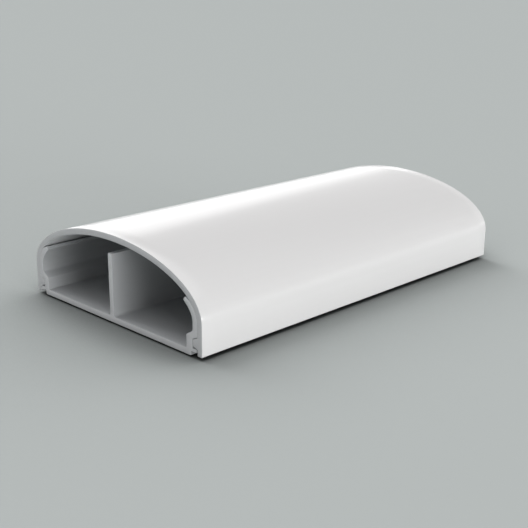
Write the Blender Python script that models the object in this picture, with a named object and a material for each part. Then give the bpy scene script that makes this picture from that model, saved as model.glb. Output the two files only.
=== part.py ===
"""Half-round floor cable raceway: a two-channel base with an arched clip-on cover.

Frame: origin at the centre of the base's underside, X across the width,
Y along the stock and Z up. Every section is drawn in X and Z.
"""

import math

import bmesh
import bpy
from mathutils import Vector

mm = 0.001

# Outside of the closed section
length = 103 * mm
width = 60 * mm
leg_height = 7.5 * mm  # straight side, up to where the arch springs
arch_rise = 12.8 * mm

# Walls
cover_wall = 1.4 * mm
base_wall = 1.4 * mm
floor_thickness = 1.4 * mm
divider_thickness = 1.4 * mm
divider_height = 15.9 * mm
clip_gap = 0.1 * mm  # between the cover's inside and the base

# Base: where the upright walls end on the arch, and their foot
base_wall_end = math.radians(29.5)  # parameter of the half-ellipse
plate_half_width = 26.55 * mm
lip_bottom = 1.0 * mm
lip_top = 1.7 * mm
lip_half_width = 28.35 * mm
foot_inside = 25.2 * mm
foot_top = 4.35 * mm
foot_slope_top = 5.5 * mm

# Clip: the groove in the base and the barb of the cover in it
groove_inside = 27.1 * mm
groove_top_inside = 3.8 * mm
groove_top_outside = 4.4 * mm
cover_bottom = 0.38 * mm
barb_start = 1.74 * mm
barb_low = 2.55 * mm

# Rounding of the extrusion's corners
fine_radius = 0.12 * mm
small_radius = 0.25 * mm
foot_radius = 0.3 * mm
divider_radius = 0.6 * mm
slope_radius = 0.8 * mm

# Finish: white rigid PVC, duller inside than on the show face
base_colour = (0.78, 0.79, 0.78)
base_roughness = 0.3
cover_colour = (0.80, 0.81, 0.80)
cover_roughness = 0.22

# Meshing
arch_steps = 72  # over the whole half-ellipse
corner_steps = 4
weld_distance = 0.002 * mm
sharp_angle = math.radians(30)

half_width = width / 2
half_divider = divider_thickness / 2
fit_offset = cover_wall + clip_gap
inner_offset = fit_offset + base_wall


def arch_point(angle, offset):
    """Point of the half-ellipse at this parameter, moved inwards along its normal."""
    normal = Vector((math.cos(angle) / half_width, math.sin(angle) / arch_rise)).normalized()
    on_ellipse = Vector((half_width * math.cos(angle), arch_rise * math.sin(angle)))
    return on_ellipse - offset * normal + Vector((0, leg_height))


def arch(first, last, offset):
    """Points along the arch between two parameters, both included."""
    count = max(2, round(arch_steps * abs(last - first) / math.pi))
    return [arch_point(first + (last - first) * i / count, offset) for i in range(count + 1)]


def corner(before, here, after, radius):
    """Points of the arc that rounds the corner at here, between its two neighbours."""
    into = (Vector(before) - Vector(here)).normalized()
    out = (Vector(after) - Vector(here)).normalized()
    half_angle = into.angle(out) / 2
    reach = radius / math.tan(half_angle)
    centre = Vector(here) + (into + out).normalized() * radius / math.sin(half_angle)
    start = Vector(here) + into * reach - centre
    turn = start.angle_signed(Vector(here) + out * reach - centre)
    points = []
    for i in range(corner_steps + 1):
        angle = -turn * i / corner_steps
        cosine, sine = math.cos(angle), math.sin(angle)
        turned = Vector((start.x * cosine - start.y * sine, start.x * sine + start.y * cosine))
        points.append(centre + turned)
    return points


def rounded(before, corners, after):
    """Points of a run of (x, z, radius) corners between two points of the outline."""
    places = [before] + [Vector(place[:2]) for place in corners] + [after]
    points = []
    for i, (_, _, radius) in enumerate(corners, 1):
        points += corner(places[i - 1], places[i], places[i + 1], radius)
    return points


def mirrored(points):
    """The same points on the other side, in the order that goes on round the outline."""
    return [Vector((-point.x, point.y)) for point in reversed(points)]


def base_outline():
    outer_wall = half_width - fit_offset
    inner_wall = half_width - inner_offset
    outside = arch(0, base_wall_end, fit_offset)
    inside = arch(base_wall_end, 0, inner_offset)
    below = [
        (plate_half_width, 0, small_radius),
        (plate_half_width, lip_bottom, fine_radius),
        (lip_half_width, lip_bottom, fine_radius),
        (lip_half_width, lip_top, fine_radius),
        (groove_inside, lip_top, fine_radius),
        (groove_inside, groove_top_inside, fine_radius),
        (outer_wall, groove_top_outside, fine_radius),
    ]
    wall_end = [(*outside[-1], fine_radius), (*inside[0], small_radius)]
    within = [
        (inner_wall, foot_slope_top, slope_radius),
        (foot_inside, foot_top, foot_radius),
        (foot_inside, floor_thickness, foot_radius),
        (half_divider, floor_thickness, divider_radius),
        (half_divider, divider_height, fine_radius),
    ]
    half = rounded(Vector((0, 0)), below, outside[0])
    half += outside[:-1]
    half += rounded(outside[-2], wall_end, inside[1])
    half += inside[1:]
    half += rounded(inside[-1], within, Vector((0, divider_height)))
    return half + mirrored(half)


def cover_outline():
    inner_wall = half_width - cover_wall
    barb_tip = groove_inside + clip_gap
    outside = arch(0, math.pi, 0)
    inside = arch(math.pi, 0, cover_wall)
    leg = [
        (inner_wall, groove_top_outside - clip_gap, fine_radius),
        (barb_tip, groove_top_inside - clip_gap, fine_radius),
        (barb_tip, barb_low, small_radius),
        (inner_wall, barb_start, fine_radius),
        (inner_wall, cover_bottom, fine_radius),
        (half_width, cover_bottom, small_radius),
    ]
    right_leg = rounded(inside[-1], leg, outside[0])
    return right_leg + outside + mirrored(right_leg) + inside


def material(name, colour, roughness):
    made = bpy.data.materials.new(name)
    made.use_nodes = True
    shader = made.node_tree.nodes["Principled BSDF"]
    shader.inputs["Base Color"].default_value = (*colour, 1)
    shader.inputs["Roughness"].default_value = roughness
    shader.inputs["Metallic"].default_value = 0
    return made


def extrusion(name, outline, plastic, collection):
    """A closed mesh with this section, along the stock's whole length."""
    curve = bpy.data.curves.new(name, "CURVE")
    curve.dimensions = "2D"
    curve.fill_mode = "BOTH"
    curve.extrude = length / 2
    spline = curve.splines.new("POLY")
    spline.points.add(len(outline) - 1)
    for point, place in zip(spline.points, outline):
        point.co = (place.x, place.y, 0, 1)
    spline.use_cyclic_u = True
    drawn = bpy.data.objects.new(name + "_outline", curve)
    collection.objects.link(drawn)
    drawn.rotation_euler = (math.pi / 2, 0, 0)
    bpy.context.view_layer.update()

    evaluated = drawn.evaluated_get(bpy.context.evaluated_depsgraph_get())
    mesh = bpy.data.meshes.new_from_object(evaluated)
    mesh.name = name
    shape = bmesh.new()
    shape.from_mesh(mesh)
    bmesh.ops.remove_doubles(shape, verts=shape.verts, dist=weld_distance)
    bmesh.ops.recalc_face_normals(shape, faces=shape.faces)
    shape.to_mesh(mesh)
    shape.free()
    mesh.materials.clear()
    mesh.materials.append(plastic)
    mesh.shade_smooth()
    mesh.set_sharp_from_angle(angle=sharp_angle)

    piece = bpy.data.objects.new(name, mesh)
    collection.objects.link(piece)
    piece.matrix_world = drawn.matrix_world
    bpy.data.objects.remove(drawn)
    return piece


def main():
    for leftover in list(bpy.data.objects):
        bpy.data.objects.remove(leftover)
    raceway = bpy.data.collections.new("cable_raceway")
    bpy.context.scene.collection.children.link(raceway)
    base_plastic = material("base_pvc", base_colour, base_roughness)
    cover_plastic = material("cover_pvc", cover_colour, cover_roughness)
    extrusion("base", base_outline(), base_plastic, raceway)
    extrusion("cover", cover_outline(), cover_plastic, raceway)


main()
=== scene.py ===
import math

import bmesh
import bpy
from mathutils import Matrix, Vector


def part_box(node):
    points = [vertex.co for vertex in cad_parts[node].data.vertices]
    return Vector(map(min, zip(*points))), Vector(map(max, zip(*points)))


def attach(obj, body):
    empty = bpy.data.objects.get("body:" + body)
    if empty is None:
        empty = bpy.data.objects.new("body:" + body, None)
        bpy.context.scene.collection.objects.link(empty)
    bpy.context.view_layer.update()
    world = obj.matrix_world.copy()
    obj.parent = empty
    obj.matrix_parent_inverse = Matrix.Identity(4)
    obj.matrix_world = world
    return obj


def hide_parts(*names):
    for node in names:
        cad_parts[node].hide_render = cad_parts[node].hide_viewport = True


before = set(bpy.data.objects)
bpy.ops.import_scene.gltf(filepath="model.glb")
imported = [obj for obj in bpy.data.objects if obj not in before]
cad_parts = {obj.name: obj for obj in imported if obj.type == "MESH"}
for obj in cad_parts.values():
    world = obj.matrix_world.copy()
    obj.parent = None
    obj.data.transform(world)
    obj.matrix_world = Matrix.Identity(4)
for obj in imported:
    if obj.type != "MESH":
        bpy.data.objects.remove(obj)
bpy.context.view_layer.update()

mm = 0.001

# the closed raceway, measured on the frame
coverLow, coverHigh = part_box("cover")
baseLow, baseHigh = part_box("base")
halfWidth = (coverHigh.x - coverLow.x) / 2
halfLength = (coverHigh.y - coverLow.y) / 2

stock = {
    "legHeight": 7.5 * mm,  # straight side below the arch
    "clipGap": 0.02 * mm,  # between the cover's inside and the base
    "endChamfer": 0.03 * mm,  # broken edge of the saw cut
    "arcSteps": 260,  # over the whole arch
    "cornerSteps": 7,
    "lengthSteps": 26,
    "chamferSteps": 2,
    "sameSpot": 0.001 * mm,  # closer points of a section count as one
    "sharpAngle": 32,  # degrees
}
archRise = coverHigh.z - stock["legHeight"]


def archPoint(angle, inset):
    # on the half ellipse of the arch, moved inwards square to it
    normal = Vector((math.cos(angle) / halfWidth, math.sin(angle) / archRise)).normalized()
    height = stock["legHeight"] + archRise * math.sin(angle)
    return Vector((halfWidth * math.cos(angle), height)) - inset * normal


def archRun(first, last, inset):
    count = round(stock["arcSteps"] * abs(last - first) / math.pi)
    return [archPoint(first + (last - first) * i / count, inset) for i in range(count + 1)]


def roundCorner(before, here, after, radius):
    into = (before - here).normalized()
    out = (after - here).normalized()
    halfAngle = into.angle(out) / 2
    reach = radius / math.tan(halfAngle)
    centre = here + (into + out).normalized() * radius / math.sin(halfAngle)
    start = here + into * reach - centre
    turn = start.angle_signed(here + out * reach - centre)
    points = []
    for i in range(stock["cornerSteps"] + 1):
        turned = Matrix.Rotation(-turn * i / stock["cornerSteps"], 2) @ start
        points.append(centre + turned)
    return points


def roundedRun(before, corners, after):
    # corners are (x, z, radius), the two others are the points that the run joins
    places = [before] + [Vector(corner[:2]) for corner in corners] + [after]
    points = []
    for last, here, following, corner in zip(places, places[1:], places[2:], corners):
        points += roundCorner(last, here, following, corner[2])
    return points


def otherSide(points):
    return [Vector((-p.x, p.y)) for p in reversed(points)]


def insetSection(section, depth):
    # every point moved into the plastic, square to the outline
    count = len(section)
    moved = []
    for i, point in enumerate(section):
        along = (section[(i + 1) % count] - section[i - 1]).normalized()
        moved.append(point + depth * Vector((-along.y, along.x)))
    return moved


def stockProfile():
    # how far in the outline lies at each place along Y: a rounded edge at both cuts, plain between
    chamfer = stock["endChamfer"]
    plainEnd = halfLength - chamfer
    turns = [math.pi / 2 * i / stock["chamferSteps"] for i in range(stock["chamferSteps"])]
    rounding = [(chamfer * (1 - math.sin(a)), chamfer * (1 - math.cos(a))) for a in turns]
    steps = stock["lengthSteps"]
    profile = [(inset, -halfLength + back) for inset, back in rounding]
    profile += [(0, -plainEnd + 2 * plainEnd * i / steps) for i in range(steps + 1)]
    profile += [(inset, halfLength - back) for inset, back in reversed(rounding)]
    return profile


def extrudeStock(name, section, materials, isInner=None):
    # the section lies in X and Z and is drawn out along Y, as the die does
    # materials are for the outside, the cut ends and the inside
    cutSlot, innerSlot = 1, 2
    clean = [p for i, p in enumerate(section) if (p - section[i - 1]).length > stock["sameSpot"]]
    count = len(clean)
    bm = bmesh.new()
    rings = []
    for inset, y in stockProfile():
        outline = insetSection(clean, inset) if inset else clean
        rings.append([bm.verts.new((p.x, y, p.y)) for p in outline])
    for near, far in zip(rings, rings[1:]):
        for i in range(count):
            j = (i + 1) % count
            strip = bm.faces.new((near[i], near[j], far[j], far[i]))
            if isInner and isInner((clean[i] + clean[j]) / 2):
                strip.material_index = innerSlot
    for ring in (rings[0], rings[-1]):
        rim = [bm.edges.get((ring[i - 1], ring[i])) for i in range(count)]
        filled = bmesh.ops.triangle_fill(bm, use_beauty=True, edges=rim)
        for cut in filled["geom"]:
            if isinstance(cut, bmesh.types.BMFace):
                cut.material_index = cutSlot
    bmesh.ops.recalc_face_normals(bm, faces=bm.faces)
    mesh = bpy.data.meshes.new(name)
    bm.to_mesh(mesh)
    bm.free()
    for material in materials:
        mesh.materials.append(material)
    mesh.shade_smooth()
    mesh.set_sharp_from_angle(angle=math.radians(stock["sharpAngle"]))
    piece = bpy.data.objects.new(name, mesh)
    bpy.context.scene.collection.objects.link(piece)
    return piece


# rigid PVC: as it leaves the die, and where a saw went through it

mixA, mixB, mixOut = 6, 7, 2  # colour sockets of the Mix node


def hexToLinear(code):
    parts = [int(code[i:i + 2], 16) / 255 for i in (1, 3, 5)]
    return tuple(c / 12.92 if c <= 0.04045 else ((c + 0.055) / 1.055) ** 2.4 for c in parts) + (1,)


def addNode(tree, kind, inputs=None, links=None, **settings):
    node = tree.nodes.new(kind)
    for key, value in settings.items():
        setattr(node, key, value)
    for socket, value in (inputs or {}).items():
        node.inputs[socket].default_value = value
    for socket, source in (links or {}).items():
        tree.links.new(source, node.inputs[socket])
    return node


def newMaterial(name):
    material = bpy.data.materials.new(name)
    material.use_nodes = True
    material.node_tree.nodes.clear()
    return material, material.node_tree


showFace = {
    "colour": "#E6E5E5",
    "shade": "#E4E3E3",  # between the die lines
    "ior": 1.53,  # rigid PVC
    "roughness": 0.18,
    "roughnessSpread": 0.03,
    "lineSpacing": 0.55 * mm,  # faint lines that the die leaves along the stock
    "lineLength": 90 * mm,
    "lineDepth": 0.0012 * mm,
    "lineDetail": 2.0,
    "orangePeel": 0.35 * mm,
    "peelDetail": 1.0,
}

shadedInnerFace = {
    **showFace,
    # painted shade: the base is the same white plastic as the cover, and this grey stands in for
    # the shade in the channel and under the cover
    "colour": "#AEB0B2",
    "shade": "#ACAEB0",
    "roughness": 0.45,  # cooled without touching the polished sleeve
    "roughnessSpread": 0.05,
    "lineSpacing": 0.7 * mm,
    "lineDepth": 0.0015 * mm,
}
# painted shade: the cover's inside is the same plastic as its outside, shown a little greyer
underside = {**shadedInnerFace, "colour": "#DADBDC", "shade": "#D8D9DA"}  # the cover's own inside


def makeExtrudedPvc(name, look):
    # rigid PVC drawn through a polished die: an even gloss, with faint lines along its length
    material, tree = newMaterial(name)
    place = addNode(tree, "ShaderNodeTexCoord").outputs["Object"]
    across, alongStock = 1 / look["lineSpacing"], 1 / look["lineLength"]
    stretched = addNode(tree, "ShaderNodeMapping", links={"Vector": place}, inputs={
        "Scale": (across, alongStock, across)})
    lines = addNode(tree, "ShaderNodeTexNoise", links={"Vector": stretched.outputs[0]}, inputs={
        "Scale": 1.0, "Detail": look["lineDetail"]})
    peel = addNode(tree, "ShaderNodeTexNoise", links={"Vector": place}, inputs={
        "Scale": 1 / look["orangePeel"], "Detail": look["peelDetail"]})
    bump = addNode(tree, "ShaderNodeBump", links={"Height": lines.outputs["Fac"]}, inputs={
        "Strength": 1.0, "Distance": look["lineDepth"]})
    roughness = addNode(tree, "ShaderNodeMapRange", links={"Value": peel.outputs["Fac"]}, inputs={
        "To Min": look["roughness"] - look["roughnessSpread"],
        "To Max": look["roughness"] + look["roughnessSpread"]})
    tone = addNode(tree, "ShaderNodeMix", data_type="RGBA", links={
        "Factor": lines.outputs["Fac"]}, inputs={
        mixA: hexToLinear(look["shade"]), mixB: hexToLinear(look["colour"])})
    shader = addNode(tree, "ShaderNodeBsdfPrincipled", inputs={"IOR": look["ior"]}, links={
        "Base Color": tone.outputs[mixOut], "Roughness": roughness.outputs["Result"],
        "Normal": bump.outputs["Normal"]})
    addNode(tree, "ShaderNodeOutputMaterial", links={"Surface": shader.outputs["BSDF"]})
    return material


sawnPvc = {
    # painted shade: the cut ends are the same white plastic, shown greyer, and the base's cut a
    # little lighter than the cover's to make up for the dimmer light near the floor
    "coverShadedColour": "#CCCDCF",
    "baseShadedColour": "#D5D6D8",
    "mottle": 0.93,  # darkest patch against the colour
    "mottleSize": 1.5 * mm,
    "mottleDetail": 1.0,
    "ior": 1.53,
    "roughness": 0.5,
    "toothPitch": 1.2 * mm,  # the real marks are finer and would not show
    "toothWander": 3.0,
    "toothDetail": 2.0,
    "markDepth": 0.01 * mm,
    "grain": 0.12 * mm,
    "grainDetail": 2.0,
}


def makeSawnPvc(name, look, colour):
    # the same plastic where a fine saw went through: matt, a little patchy, faint tooth marks
    material, tree = newMaterial(name)
    place = addNode(tree, "ShaderNodeTexCoord").outputs["Object"]
    waveRate = 10 * math.sqrt(2)  # radians in a unit along the cut's diagonal, at scale 1
    marks = addNode(tree, "ShaderNodeTexWave", bands_direction="DIAGONAL", links={
        "Vector": place}, inputs={
        "Scale": 2 * math.pi / (waveRate * look["toothPitch"]),
        "Distortion": look["toothWander"], "Detail": look["toothDetail"]})
    grain = addNode(tree, "ShaderNodeTexNoise", links={"Vector": place}, inputs={
        "Scale": 1 / look["grain"], "Detail": look["grainDetail"]})
    height = addNode(tree, "ShaderNodeMath", operation="ADD", links={
        0: marks.outputs["Fac"], 1: grain.outputs["Fac"]})
    bump = addNode(tree, "ShaderNodeBump", links={"Height": height.outputs[0]}, inputs={
        "Strength": 1.0, "Distance": look["markDepth"]})
    patches = addNode(tree, "ShaderNodeTexNoise", links={"Vector": place}, inputs={
        "Scale": 1 / look["mottleSize"], "Detail": look["mottleDetail"]})
    clean = hexToLinear(colour)
    patch = tuple(c * look["mottle"] for c in clean[:3]) + (1,)
    tone = addNode(tree, "ShaderNodeMix", data_type="RGBA", links={
        "Factor": patches.outputs["Fac"]}, inputs={mixA: patch, mixB: clean})
    shader = addNode(tree, "ShaderNodeBsdfPrincipled", inputs={
        "IOR": look["ior"], "Roughness": look["roughness"]}, links={
        "Base Color": tone.outputs[mixOut], "Normal": bump.outputs["Normal"]})
    addNode(tree, "ShaderNodeOutputMaterial", links={"Surface": shader.outputs["BSDF"]})
    return material


glossPvc = makeExtrudedPvc("glossPvc", showFace)
shadedInnerPvc = makeExtrudedPvc("shadedInnerPvc", shadedInnerFace)
shadedUndersidePvc = makeExtrudedPvc("shadedUndersidePvc", underside)
coverCut = makeSawnPvc("coverCut", sawnPvc, sawnPvc["coverShadedColour"])
baseCut = makeSawnPvc("baseCut", sawnPvc, sawnPvc["baseShadedColour"])
print("materials made")

# clip cover: the arch, a straight leg each side and a barb inside each leg

cover = {
    "wall": 1.4 * mm,
    "legFoot": coverLow.z,
    "barbStart": 1.74 * mm,  # where the barb's lower slope leaves the leg
    "barbLow": 2.2 * mm,
    "barbTop": 3.7 * mm,
    "barbRoot": 4.3 * mm,  # where its upper slope meets the leg
    "barbTip": 27.2 * mm,  # from the middle
    "fine": 0.12 * mm,
    "soft": 0.25 * mm,
}


def insideCover(point):
    # true past the middle of the wall
    half = cover["wall"] / 2
    height = max(point.y - stock["legHeight"], 0)
    return (point.x / (halfWidth - half)) ** 2 + (height / (archRise - half)) ** 2 < 1


def coverSection():
    inner = halfWidth - cover["wall"]
    outside = archRun(0, math.pi, 0)
    inside = archRun(math.pi, 0, cover["wall"])
    leg = [
        (inner, cover["barbRoot"], cover["fine"]),
        (cover["barbTip"], cover["barbTop"], cover["fine"]),
        (cover["barbTip"], cover["barbLow"], cover["soft"]),
        (inner, cover["barbStart"], cover["fine"]),
        (inner, cover["legFoot"], cover["fine"]),
        (halfWidth, cover["legFoot"], cover["soft"]),
    ]
    rightLeg = roundedRun(inside[-1], leg, outside[0])
    return rightLeg + outside + otherSide(rightLeg) + inside


coverFaces = [glossPvc, coverCut, shadedUndersidePvc]
clipCover = extrudeStock("clipCover", coverSection(), coverFaces, insideCover)
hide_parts("cover")
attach(clipCover, "root")
print("clip cover made")

# channel base: floor plate, two walls that follow the arch, groove, divider

base = {
    "wall": 1.4 * mm,
    "wallEnd": math.radians(29.5),  # where the walls stop on the arch
    "leadIn": 0.5 * mm,  # taper outside the wall ends, for fitting the cover
    "leadInLength": 1.6 * mm,
    "floor": 1.4 * mm,
    "plateHalf": 26.55 * mm,  # half width of the flat underside
    "lipLow": 1.0 * mm,  # the lip closes the groove from below
    "lipTop": 1.7 * mm,
    "lipHalf": 28.35 * mm,
    "grooveInside": 27.1 * mm,
    "grooveTopInside": 3.8 * mm,
    "grooveTopOutside": 4.4 * mm,
    "footInside": 25.2 * mm,  # the foot of the wall is thicker, behind the groove
    "footTop": 4.35 * mm,
    "footSlopeTop": 5.5 * mm,
    "divider": 1.4 * mm,
    "fine": 0.12 * mm,
    "soft": 0.25 * mm,
    "footRound": 0.3 * mm,
    "dividerFillet": 0.6 * mm,
    "slopeRound": 0.8 * mm,
}


def baseSection():
    fit = cover["wall"] + stock["clipGap"]
    outside = archRun(0, base["wallEnd"], fit)
    inside = archRun(base["wallEnd"], 0, fit + base["wall"])
    halfDivider = base["divider"] / 2
    below = [
        (base["plateHalf"], baseLow.z, base["soft"]),
        (base["plateHalf"], base["lipLow"], base["fine"]),
        (base["lipHalf"], base["lipLow"], base["fine"]),
        (base["lipHalf"], base["lipTop"], base["fine"]),
        (base["grooveInside"], base["lipTop"], base["fine"]),
        (base["grooveInside"], base["grooveTopInside"], base["fine"]),
        (halfWidth - fit, base["grooveTopOutside"], base["fine"]),
    ]
    # the wall follows the arch up to its lead-in, then runs straight to the tip
    tip = archPoint(base["wallEnd"], fit + base["leadIn"])
    wallTop = [(*tip, base["fine"]), (*inside[0], base["soft"])]
    outside = [p for p in outside if (p - outside[-1]).length > base["leadInLength"]]
    within = [
        (halfWidth - fit - base["wall"], base["footSlopeTop"], base["slopeRound"]),
        (base["footInside"], base["footTop"], base["footRound"]),
        (base["footInside"], base["floor"], base["footRound"]),
        (halfDivider, base["floor"], base["dividerFillet"]),
        (halfDivider, baseHigh.z, base["fine"]),
    ]
    half = roundedRun(Vector((0, baseLow.z)), below, outside[0])
    half += outside
    half += roundedRun(outside[-1], wallTop, inside[1])
    half += inside[1:]
    half += roundedRun(inside[-1], within, Vector((0, baseHigh.z)))
    return half + otherSide(half)


# the whole base takes the grey with painted shade
channelBase = extrudeStock("channelBase", baseSection(), [shadedInnerPvc, baseCut])
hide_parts("base")
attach(channelBase, "root")
print("channel base made")

# floor

ground = {
    "reach": 40.0,  # from the stock to the nearest edge
    "drop": 0.5 * mm,  # gap under the plate
    "colour": "#BABFBE",
    "litColour": "#B7BCBA",  # as it comes out under the lights
    "roughness": 0.9,
    # painted shadow: these settings darken the paper's colour near the stock
    "shadeReach": 120 * mm,  # how far from the stock the paper is shaded
    "shadeDepth": 1.05,
    "shadeLean": (0.25, 0.12),  # in X and Y, to the side that the stronger light comes from
    "shadeSamples": 16,
}


def makeGround():
    # matt paper with a painted shadow: its colour is a little deeper where the stock keeps the
    # light off it
    material, tree = newMaterial("paperGround")
    lean = Vector((*ground["shadeLean"], 1)).normalized()
    facing = addNode(tree, "ShaderNodeCombineXYZ", inputs={"X": lean.x, "Y": lean.y, "Z": lean.z})
    openness = addNode(tree, "ShaderNodeAmbientOcclusion", samples=ground["shadeSamples"], inputs={
        "Distance": ground["shadeReach"]}, links={"Normal": facing.outputs[0]})
    depth = addNode(tree, "ShaderNodeMath", operation="POWER", links={
        0: openness.outputs["AO"]}, inputs={1: ground["shadeDepth"]})
    tone = addNode(tree, "ShaderNodeMix", data_type="RGBA", links={
        "Factor": depth.outputs[0]}, inputs={
        mixA: (0, 0, 0, 1), mixB: hexToLinear(ground["colour"])})
    shader = addNode(tree, "ShaderNodeBsdfPrincipled", links={
        "Base Color": tone.outputs[mixOut]}, inputs={
        "Roughness": ground["roughness"], "Specular IOR Level": 0.0})
    addNode(tree, "ShaderNodeOutputMaterial", links={"Surface": shader.outputs["BSDF"]})
    # one triangle, so no edge inside the sheet shows; its corners lie twice as far as its sides
    bpy.ops.mesh.primitive_circle_add(
        vertices=3, radius=2 * ground["reach"], fill_type="NGON",
        location=(0, 0, baseLow.z - ground["drop"]))
    sheet = bpy.context.object
    sheet.name = "ground"
    sheet.data.materials.append(material)


makeGround()

# studio light: a few soft panels far away, so the floor stays even
# angles in degrees, azimuth from +X towards +Y, halfWidth and halfHeight of the bright part,
# soft is the width of its faded edge, tilt turns the panel about its own middle

sky = {
    "rightStrip": {"azimuth": -3, "elevation": 2, "halfWidth": 6, "halfHeight": 1,
                   "soft": (20, 5), "level": 39.5},
    "leftSoftbox": {"azimuth": 174, "elevation": 40, "halfWidth": 10, "halfHeight": 16,
                    "soft": (16, 12), "level": 4.3},
    "overhead": {"azimuth": 0, "elevation": 90, "halfWidth": 25, "halfHeight": 25,
                 "soft": (14, 14), "level": 1.08},
    "topPanel": {"azimuth": 240, "elevation": 66, "halfWidth": 30, "halfHeight": 3,
                 "soft": (20, 9), "level": 0.7},
    "backWash": {"azimuth": 113, "elevation": 0, "halfWidth": 31, "halfHeight": 1,
                 "soft": (41, 44), "level": 1.0},
    "crestPanel": {"azimuth": 150, "elevation": 5, "halfWidth": 22, "halfHeight": 17,
                   "soft": (10, 5), "tilt": 42, "level": 0.5},
    "crestEdge": {"azimuth": 155, "elevation": 12, "halfWidth": 4, "halfHeight": 14.5,
                  "soft": (20, 4), "tilt": 44, "level": 0.57},
    "frontFill": {"azimuth": 245, "elevation": 6, "halfWidth": 20, "halfHeight": 6,
                  "soft": (25, 8), "level": 1.1},
    "horizonRing": {"azimuth": 0, "elevation": 2, "halfWidth": 179, "halfHeight": 2,
                    "soft": (1, 4), "level": 1.15},
}


def panelLight(tree, direction, panel):
    # brightness of one panel in this direction, from the two angles off its middle
    turn = Matrix.Rotation(math.radians(panel["azimuth"]), 3, "Z")
    lift = Matrix.Rotation(math.radians(-panel["elevation"]), 3, "Y")
    roll = Matrix.Rotation(math.radians(panel.get("tilt", 0)), 3, "X")
    axes = (turn @ lift @ roll).transposed()
    ahead, aside, above = [
        addNode(tree, "ShaderNodeVectorMath", operation="DOT_PRODUCT", links={
            0: direction}, inputs={1: tuple(axis)}).outputs["Value"] for axis in axes]
    sideways = addNode(tree, "ShaderNodeMath", operation="ARCTAN2", links={0: aside, 1: ahead})
    upwards = addNode(tree, "ShaderNodeMath", operation="ARCSINE", links={0: above})
    softWidth, softHeight = panel["soft"]
    shares = []
    for angle, half, soft in ((sideways, panel["halfWidth"], softWidth),
                              (upwards, panel["halfHeight"], softHeight)):
        offMiddle = addNode(tree, "ShaderNodeMath", operation="ABSOLUTE", links={
            0: angle.outputs[0]})
        fade = addNode(tree, "ShaderNodeMapRange", interpolation_type="SMOOTHSTEP", links={
            "Value": offMiddle.outputs[0]}, inputs={
            "From Min": math.radians(half), "From Max": math.radians(half + soft),
            "To Min": 1.0, "To Max": 0.0})
        shares.append(fade.outputs["Result"])
    lit = addNode(tree, "ShaderNodeMath", operation="MULTIPLY", links={
        0: shares[0]}, inputs={1: panel["level"]})
    return addNode(tree, "ShaderNodeMath", operation="MULTIPLY", links={
        0: shares[1], 1: lit.outputs[0]}).outputs[0]


def makeSky():
    world = bpy.data.worlds.new("studio")
    world.use_nodes = True
    tree = world.node_tree
    tree.nodes.clear()
    direction = addNode(tree, "ShaderNodeTexCoord").outputs["Generated"]
    lights = [panelLight(tree, direction, panel) for panel in sky.values()]
    total = lights[0]
    for light in lights[1:]:
        total = addNode(tree, "ShaderNodeMath", operation="ADD", links={
            0: total, 1: light}).outputs[0]
    studioLight = addNode(tree, "ShaderNodeBackground", links={"Strength": total}, inputs={
        "Color": (1, 1, 1, 1)})
    # past the edge of the paper the camera sees its tone, not the panels
    backdrop = addNode(tree, "ShaderNodeBackground", inputs={
        "Color": hexToLinear(ground["litColour"])})
    rays = addNode(tree, "ShaderNodeLightPath")
    shown = addNode(tree, "ShaderNodeMixShader", links={
        0: rays.outputs["Is Camera Ray"], 1: studioLight.outputs[0], 2: backdrop.outputs[0]})
    addNode(tree, "ShaderNodeOutputWorld", links={"Surface": shown.outputs[0]})
    bpy.context.scene.world = world


makeSky()

# camera

camera = {
    "place": Vector((162.2, -167.1, 75.2)) * mm,
    "yaw": 44.82,  # degrees to the left of the stock's own direction
    "dip": 17.39,  # below level
    "roll": 0.34,
    "lens": 64.35,
    "sensor": 36.0,
    "nearest": 5 * mm,
    "farthest": 100.0,
}


def makeCamera():
    lens = bpy.data.cameras.new("camera")
    lens.lens = camera["lens"]
    lens.sensor_width = camera["sensor"]
    lens.clip_start = camera["nearest"]
    lens.clip_end = camera["farthest"]
    holder = bpy.data.objects.new("camera", lens)
    bpy.context.scene.collection.objects.link(holder)
    turn = Matrix.Rotation(math.radians(camera["yaw"]), 4, "Z")
    tilt = Matrix.Rotation(math.radians(90 - camera["dip"]), 4, "X")
    roll = Matrix.Rotation(math.radians(camera["roll"]), 4, "Z")
    holder.matrix_world = Matrix.Translation(camera["place"]) @ turn @ tilt @ roll
    bpy.context.scene.camera = holder


makeCamera()
bpy.context.scene.view_settings.view_transform = "Standard"
print("stage, light and camera made")

bpy.context.view_layer.update()
